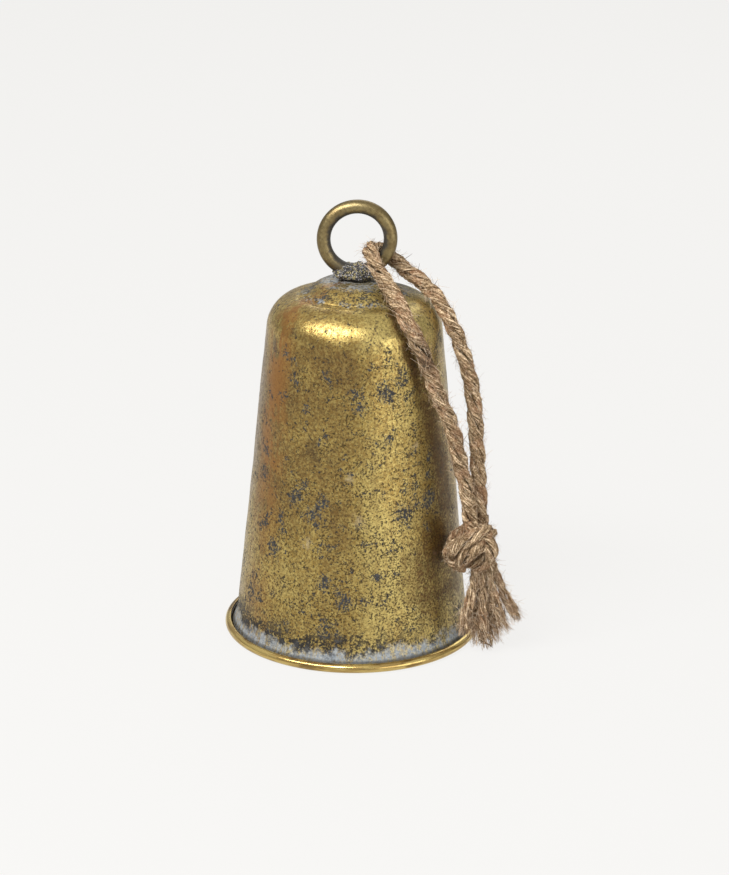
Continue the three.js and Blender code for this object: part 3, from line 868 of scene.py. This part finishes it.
def antique_brass():
    """Smooth brass rod, painted dark as shade on the inner side of the ring."""
    s = Shader("antique_brass")
    x, _, z = s.xyz()
    cloud = s.clouds(6 * MM, 4, 0.55)
    grain = s.clouds(1.5 * MM, 4, 0.65, shift=1.7)
    worn = s.length(x - ring_centre.x, z - ring_centre.z) + (cloud - 0.5) * (1.4 * MM)
    inner = s.step(worn, ring_radius - 0.6 * MM, ring_radius - 2.8 * MM)
    outer = s.step(worn, ring_radius + 2.2 * MM, ring_radius + 3.5 * MM)
    low = s.step(z, ring_centre.z - 9 * MM, ring_centre.z - 17 * MM) * s.step(cloud + grain, 0.4, 1.2)
    colour = s.mix(cloud, (0.185, 0.135, 0.060), (0.25, 0.195, 0.092))
    colour = s.mix(s.step(grain, 0.55, 1.0) * 0.2, colour, (0.36, 0.29, 0.135))
    # painted shade on the ring's inner side
    colour = s.mix(inner * 0.9, colour, (0.040, 0.040, 0.038))
    colour = s.mix(outer * 0.5, colour, (0.11, 0.075, 0.03))
    colour = s.mix(s.step(grain, 0.35, 0.0) * 0.35, colour, (0.08, 0.055, 0.028))
    colour = s.mix(low * 0.8, colour, (0.05, 0.048, 0.05))
    s.bump((cloud, 0.05 * MM), (grain, 0.012 * MM))
    return s.finish(colour, s.blend(inner, 0.95, 0.6), s.blend(inner, grain * 0.06 + 0.38, 0.48))


def weld_crust():
    """Rough slag and spatter with flecks of gold leaf and pale flux."""
    s = Shader("weld_crust")
    grains = s.cells(0.6 * MM)
    split = s.node("SeparateColor", {0: grains.outputs["Color"]})
    gilt_chance, flux_chance = s.number(split, 0), s.number(split, 1)
    grain = s.clouds(0.9 * MM, 4, 0.7, 0.3)
    cloud = s.clouds(4 * MM, 4, 0.6, shift=2.0)
    gilt = s.step(gilt_chance + cloud * 0.25, 0.84, 0.92)
    colour = s.mix(grain, (0.010, 0.010, 0.010), (0.070, 0.065, 0.066))
    colour = s.mix(gilt, colour, (0.40, 0.34, 0.17))
    colour = s.mix(s.step(flux_chance, 0.78, 0.84) * 0.8, colour, (0.42, 0.41, 0.42))
    colour = s.mix(s.step(cloud, 0.75, 1.0) * 0.35, colour, (0.20, 0.20, 0.21))
    s.bump((grains.outputs["Distance"], 0.2 * MM), (grain, 0.3 * MM))
    return s.finish(colour, s.step(gilt, 0.0, 1.0, 0.25, 0.9), 0.48)


def dark_steel():
    """Rod and ball under dark scale, with a little rust and bare metal on what stands proud."""
    s = Shader("dark_steel")
    cloud = s.noise(8 * MM, 5, 0.6)
    grain = s.noise(1.2 * MM, 5, 0.7, shift=0.8)
    colour = s.mix(s.step(cloud, 0.4, 0.6), (0.075, 0.07, 0.065), (0.16, 0.15, 0.14))
    colour = s.mix(s.step(grain, 0.56, 0.7) * 0.7, colour, (0.17, 0.085, 0.045))
    s.bump((cloud, 0.15 * MM), (grain, 0.12 * MM))
    return s.finish(colour, s.step(grain, 0.5, 0.7, 0.85, 0.3), s.step(cloud, 0.3, 0.7, 0.38, 0.62))


def jute_fibre():
    """Brown jute in long fibres that run with each strand, with painted shade between the strands."""
    s = Shader("jute_fibre")
    fibre = s.node("UVMap", {}, uv_map="fibre").outputs[0]
    strands = s.clouds(0.75 * MM, 3, 0.65, 0.3, stretch=(0.15, 1, 1), place=fibre)
    threads = s.clouds(1.5 * MM, 3, 0.6, 0.3, stretch=(0.18, 1, 1), shift=0.2, place=fibre)
    nap = s.clouds(1.0 * MM, 3, 0.7, 0.3, shift=0.9)
    colour = s.ramp(
        strands * 0.42 + threads * 0.26 + nap * 0.32,
        (0.22, (0.048, 0.027, 0.014)),
        (0.42, (0.215, 0.137, 0.072)),
        (0.58, (0.42, 0.290, 0.165)),
        (0.78, (0.90, 0.71, 0.48)),
    )
    reddish = s.step(s.clouds(9 * MM, 3, 0.5), 0.45, 1.0) * 0.35
    colour = s.mix(reddish, colour, (0.33, 0.16, 0.085))
    matted = s.step(s.noise(11 * MM, 3, 0.5, shift=4.4), 0.60, 0.68, 0.0, 0.55) * s.step(nap, 0.2, 0.7)
    colour = s.mix(matted, colour, (0.055, 0.034, 0.022))
    rubbed = s.step(s.distance(MATTED_PLACE), 12 * MM, 5 * MM) * s.step(nap, 0.15, 0.75) * 0.8
    colour = s.mix(rubbed, colour, (0.050, 0.032, 0.022))
    # painted shade: the jute darkens towards the rope's core, between the strands
    depth = s.step(s.attribute("shade"), 0.0, 0.6, 0.25, 1.0)
    colour = s.mix(1.0, colour, s.mix(depth, (0, 0, 0), (1, 1, 1)), "MULTIPLY")
    s.bump((threads, 0.4 * MM), (strands, 0.25 * MM), (nap, 0.15 * MM))
    return s.finish(colour, 0.0, 0.9, 0.1)


def loose_fibre():
    """Loose hairs, each of one tone from dark to pale, which the fibre map holds."""
    s = Shader("loose_fibre")
    tone, _, _ = s.xyz(s.node("UVMap", {}, uv_map="fibre").outputs[0])
    colour = s.ramp(
        tone,
        (0.0, (0.08, 0.045, 0.022)),
        (0.25, (0.28, 0.17, 0.09)),
        (0.7, (0.56, 0.40, 0.26)),
        (1.0, (0.88, 0.72, 0.53)),
    )
    return s.finish(colour, 0.0, 0.85, 0.15)


# ------------------------------------------------------------------ shell, cap and welds


def dents(x, y, z):
    """Outward offset of the hand-worked sheet at a place."""
    p = Vector((x, y, z))
    broad = noise.noise(p / (55 * MM)) * 0.42
    middle = noise.noise(p / (19 * MM) + Vector((7, 3, 1))) * 0.20
    small = noise.noise(p / (7 * MM) + Vector((1, 9, 4))) * (0.05 + 0.07 * min(1, max(0, (z - 0.15) / 0.02)))
    return (broad + middle + small) * MM


def shell_outline():
    """The shell's closed section, and for each point which way is outwards, or None where it holds still."""
    slope = math.degrees(wall_slope)
    foot = curl_centre[0] - CURL_RADIUS
    lean = foot + SHEET - wall_radius(FLARE_HEIGHT)
    inner_curl = CURL_RADIUS - SHEET
    wall_top = shoulder_centre[1] + SHOULDER_RADIUS * math.sin(wall_slope)

    def flare(part, side):
        radius = wall_radius(FLARE_HEIGHT) + lean * part**1.9 - side
        return radius, FLARE_HEIGHT - (FLARE_HEIGHT - CURL_RADIUS) * part

    parts = np.linspace(0, 0.94, 14)
    outer = line((cap_edge - CAP_LAP, shoulder_height), (shoulder_centre[0], shoulder_height), 4)
    outer += arc(shoulder_centre, SHOULDER_RADIUS, 90, slope, 26)[:-1]
    outer += line((wall_radius(wall_top), wall_top), (wall_radius(FLARE_HEIGHT), FLARE_HEIGHT), 110)
    outer += [flare(part, 0) for part in parts]
    curl = arc(curl_centre, inner_curl, 180, CURL_END, 22) + arc(curl_centre, CURL_RADIUS, CURL_END, 180, 40)
    inner = [flare(part, SHEET) for part in parts[::-1]]
    inner_top = (wall_radius(wall_top) - SHEET, wall_top)
    inner += line((wall_radius(FLARE_HEIGHT) - SHEET, FLARE_HEIGHT), inner_top, 60)[1:]
    inner += arc(shoulder_centre, SHOULDER_RADIUS - SHEET, slope, 90, 14)
    inner += [(cap_edge - CAP_LAP, shoulder_height - SHEET)]
    return outer + curl + inner, len(outer), len(outer) + len(curl)


def make_shell(material):
    outline, outer_end, curl_end = shell_outline()

    def shift(x, y, z, i):
        if outer_end <= i < curl_end:
            return x, y, z
        settle = min(1.0, max(0.0, (z - 8 * MM) / (14 * MM)))
        top = min(1.0, max(0.0, (shoulder_height - z) / (6 * MM)))
        amount = dents(x, y, z) * settle
        reach = math.hypot(x, y)
        tilt = 1 - top
        x += x / reach * amount * top
        y += y / reach * amount * top
        return x, y, z + amount * tilt * 0.8

    count = 288
    last = len(outline) - 1
    shell = turned("bell_shell", outline[::-1], count, shift=lambda x, y, z, i: shift(x, y, z, last - i))
    bare = [1.0 if last - i >= curl_end else 0.0 for i in range(last + 1)]
    values = np.repeat(bare, count).astype(np.float32)
    shell.data.attributes.new("inside", "FLOAT", "POINT").data.foreach_set("value", values)
    return place(shell, "bell", "gilded_sheet", material, "bell_body")


def make_cap(material):
    """The domed cap: a slope up from the crease, then a nearly flat top."""
    flat = cap_edge - 8.3 * MM
    seat = cap_low.z
    top = [(0, cap_top), (flat * 0.4, cap_top - 0.15 * MM), (flat * 0.75, cap_top - 0.45 * MM)]
    top += [(flat, cap_top - 1.4 * MM), ((flat + cap_edge) / 2, shoulder_height + 3.5 * MM)]
    top += [(cap_edge - 0.8 * MM, shoulder_height + 1.3 * MM), (cap_edge, seat + 0.4 * MM), (cap_edge, seat)]
    curve, _ = smooth_route([(r, h, 0) for r, h in top], 0.8 * MM)
    outside = [(max(0.0, r), h) for r, h, _ in curve]
    outside[0] = (0.0, cap_top)
    inside = []
    for r, h in outside:
        inside.append((max(0.0, r - 2 * CAP_SHEET * min(1, r / cap_edge)), max(seat, h - CAP_SHEET)))
    inside[0] = (0.0, cap_top - CAP_SHEET)
    outline = inside[:-3] + [(cap_edge - 2 * CAP_SHEET, seat)] + outside[::-1]

    def shift(x, y, z, i):
        p = Vector((x, y, z))
        wave = noise.noise(p / (9 * MM)) * 0.35 + noise.noise(p / (3.5 * MM)) * 0.10
        return x, y, z + wave * MM * min(1, max(0, (z - seat) / (1 * MM)))

    cap = turned("bell_cap", outline, 160, closed=False, shift=shift)
    return place(cap, "bell", "gilded_sheet", material, "crown_cap")


def make_braze(material):
    """The filler in the crease between cap and shoulder, gilded over with the rest."""
    braze_low, braze_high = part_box("crown_braze")
    inner, outer = cap_edge - 1.6 * MM, braze_high.x * to_corner
    cap_side = braze_low.z + 1.5 * MM
    section = [(inner, shoulder_height - 0.6 * MM), (outer, shoulder_height - 0.6 * MM)]
    for share in np.linspace(0, 1, 12):
        height = shoulder_height - 0.25 * MM + (cap_side - shoulder_height + 0.25 * MM) * share**1.7
        section.append((outer + (inner - outer) * share, height))

    def shift(x, y, z, i):
        if i < 2:
            return x, y, z
        angle = math.atan2(y, x)
        amount = noise.noise(Vector((math.cos(angle), math.sin(angle), 0)) * 7) * 0.35
        amount += noise.noise(Vector((x, y, z)) / (2.2 * MM)) * 0.18
        share = (outer - math.hypot(x, y)) / (outer - inner)
        return x, y, z + amount * MM * min(1, 4 * share) * (1 - share)

    braze = turned("cap_braze", section, 320, shift=shift)
    return place(braze, "bell", "weld_metal", material, "crown_braze")


def make_ring(material):
    """The rod ring, a little uneven, as bent by hand."""
    verts = []
    around, along = 32, 200
    for i in range(along):
        big = 2 * math.pi * i / along
        radius = ring_radius + 0.12 * MM * math.sin(2 * big + 0.7)
        for j in range(around):
            small = 2 * math.pi * j / around
            rod = ring_rod * (1 + 0.012 * noise.noise(Vector((math.cos(big) * 3, math.sin(big) * 3, small))))
            reach = radius + rod * math.cos(small)
            verts.append((
                ring_centre.x + reach * math.cos(big),
                ring_centre.y + rod * math.sin(small),
                ring_centre.z + reach * math.sin(big),
            ))
    ring = new_object("hanging_ring_rod", verts, grid_faces(along, around, closed=True))
    return place(ring, "bell", "ring_rod", material, "hanging_ring")


def make_ring_weld(material):
    """A lump of weld that wraps the ring's lowest part, with a spread foot and a crust of grains."""
    weld_low, weld_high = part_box("ring_weld")
    centre, half = (weld_low + weld_high) / 2, (weld_high - weld_low) / 2
    lump_sizes = ((4.5, 1.3), (1.7, 0.5), (0.8, 0.4), (0.55, 0.22))  # their width and height in millimetres
    verts = []
    rows, columns = 90, 180
    for i in range(rows + 1):
        up = math.pi * (i / rows - 0.5)
        for j in range(columns):
            turn = 2 * math.pi * j / columns
            n = Vector((math.cos(up) * math.cos(turn), math.cos(up) * math.sin(turn), math.sin(up)))
            p = Vector((n.x * half.x, n.y * half.y, n.z * half.z)) + centre
            p += n * sum(noise.noise(p / (width * MM)) * height * MM for width, height in lump_sizes)
            foot = max(0.0, (centre.z - p.z) / half.z)
            p.x += n.x * foot * 2.2 * MM
            p.y += n.y * foot * 2.4 * MM
            p.z = max(p.z, cap_top - 1.0 * MM)
            verts.append(tuple(p))
    weld = new_object("ring_weld_crust", verts, grid_faces(rows + 1, columns))
    return place(weld, "bell", "weld_metal", material, "ring_weld")


# ------------------------------------------------------------------ clapper and its hangings


def rod(name, points, radius, sides=24, closed=False, spacing=0.7 * MM):
    """A round rod along a route given in metres, its ends slightly rounded."""
    if closed:
        points = [*points, points[0]]
    path, along = smooth_route(points, spacing)
    soup = Soup()
    _, normal, other = frames_along(path)
    around = np.linspace(0, 2 * math.pi, sides, endpoint=False)
    size = np.full(len(path), radius)
    if not closed:
        size[0] = size[-1] = radius * 0.8
    scale = np.array([1 + 0.02 * noise.noise(Vector(p) / (4 * MM)) for p in path]) * size
    a, b = scale[:, None] * np.cos(around), scale[:, None] * np.sin(around)
    soup.tube(rings_round(path, normal, other, a, b), np.zeros((*a.shape, 2)), np.ones(a.shape))
    return soup.to_object(name)


def bend(centre, radius, start, end, steps, plane):
    """Points round part of a circle in the XZ or YZ plane, angles in degrees."""
    points = arc(centre, radius, start, end, steps)
    return [(across, 0, height) if plane == "XZ" else (0, across, height) for across, height in points]


def make_staple(steel):
    low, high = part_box("clapper_staple")
    radius, top = high.y, high.z
    half, bar, corner = high.x - radius, low.z + radius, 4 * MM
    tuck = top - 3 * MM
    left = bend((corner - half, bar + corner), corner, 180, 270, 6, "XZ")
    right = bend((half - corner, bar + corner), corner, 270, 360, 6, "XZ")
    route = [(-half, 0, top), (-half, 0, tuck), *left, (0, 0, bar), *right, (half, 0, tuck), (half, 0, top)]
    place(rod("staple_rod", route, radius), "bell", "dark_steel", steel, "clapper_staple")


def make_link(steel):
    low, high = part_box("clapper_link")
    radius = high.x
    reach = high.y - radius
    upper = bend((0, high.z - radius - reach), reach, 0, 180, 12, "YZ")
    under = bend((0, low.z + radius + reach), reach, 180, 360, 12, "YZ")
    link = rod("link_rod", [*upper, *under], radius, closed=True)
    place(link, "link", "dark_steel", steel, "clapper_link")


def make_shank(steel):
    """The clapper's rod with its open eye, and the head hammered on its lower end."""
    low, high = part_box("clapper_shank")
    radius, eye = 2.5 * MM, 6 * MM
    lip, rounding = 4.4 * MM, 1.3 * MM
    eye_height = high.z - radius - eye
    neck = eye_height - 2 * eye
    foot = low.z + 4 * MM
    route = bend((0, eye_height), eye, -42, 238, 22, "XZ")
    route += [(-eye * 0.15, 0, neck + eye / 2)]
    route += [(0, 0, z) for z in (neck, (neck + foot) / 2, foot - 1 * MM)]
    place(rod("shank_rod", route, radius), "clapper", "dark_steel", steel, "clapper_shank")
    head = line((0.0, low.z), (lip * 0.7, low.z), 3)
    head += arc((lip - rounding, low.z + rounding), rounding, -90, 0, 6)
    head += [(lip, foot - 0.7 * MM), (lip - 0.6 * MM, foot), (0, foot)]
    place(turned("shank_head", head, 48, closed=False), "clapper", "dark_steel", steel)


def make_ball(steel):
    low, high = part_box("clapper_ball")
    middle, radius = (low.z + high.z) / 2, (high.z - low.z) / 2
    bore = math.degrees(math.asin(2.8 * MM / radius))

    def worked(x, y, z, i):
        push = 1 + 0.012 * noise.noise(Vector((x, y, z)) / (9 * MM)) - 0.008
        return x * push, y * push, middle + (z - middle) * push

    ball = turned("clapper_ball_worked", arc((0, middle), radius, bore - 90, 90 - bore, 60), 96, shift=worked)
    place(ball, "clapper", "dark_steel", steel, "clapper_ball")


def make_small_welds(crust):
    low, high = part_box("clapper_weld")
    make_fillet("clapper_weld_bead", (0, 0), low.z, high.z, high.x, "clapper", crust, "clapper_weld")
    for node in ("staple_weld_left", "staple_weld_right"):
        low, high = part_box(node)
        middle, reach = ((low.x + high.x) / 2, 0), (high.x - low.x) / 2
        make_fillet(f"{node}_bead", middle, high.z, low.z, reach, "bell", crust, node)


def make_rim_wire(steel):
    low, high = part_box("rim_wire")
    radius = (high.z - low.z) / 2
    outline = arc((high.x * to_corner - radius, low.z + radius), radius, 0, 345, 23)
    place(turned("rim_wire_round", outline, 192), "bell", "dark_steel", steel, "rim_wire")


def make_fillet(name, centre, base, tip, reach, body, material, node):
    """A lumpy ring of weld round a rod, wide at its base and drawn in towards its tip."""
    inner = 2.75 * MM
    outline = []
    for share in np.linspace(0, 1, 9):
        outline.append((inner + (reach - inner) * (1 - share) ** 1.6, base + (tip - base) * share))
    outline.append((inner, base))
    if tip > base:
        outline = outline[::-1]

    def lumpy(x, y, z, i):
        out = math.hypot(x, y)
        push = noise.noise(Vector((x * 600, y * 600, z * 400 + centre[0] * 90))) * 0.35 * MM
        push = min(push, 0.1 * MM) if out > inner + 0.2 * MM else 0
        return centre[0] + x * (1 + push / out), centre[1] + y * (1 + push / out), z

    place(turned(name, outline, 64, shift=lumpy), body, "weld_metal", material, node)


# ------------------------------------------------------------------ make everything

jute = jute_fibre()
loose = loose_fibre()
rope_loop, rope_fibres, rope_path, rope_length = make_rope_loop(jute, loose)
knot_pieces = make_knot(jute, loose)
tassel_pieces = make_tassel(jute, loose)
tuple(rope_path[0])

gilding = gilded_metal()
crust = weld_crust()
steel = dark_steel()
make_shell(gilding)
make_cap(gilding)
make_braze(gilding)
make_ring(antique_brass())
make_ring_weld(crust)
make_staple(steel)
make_link(steel)
make_shank(steel)
make_ball(steel)
make_small_welds(crust)
make_rim_wire(steel)
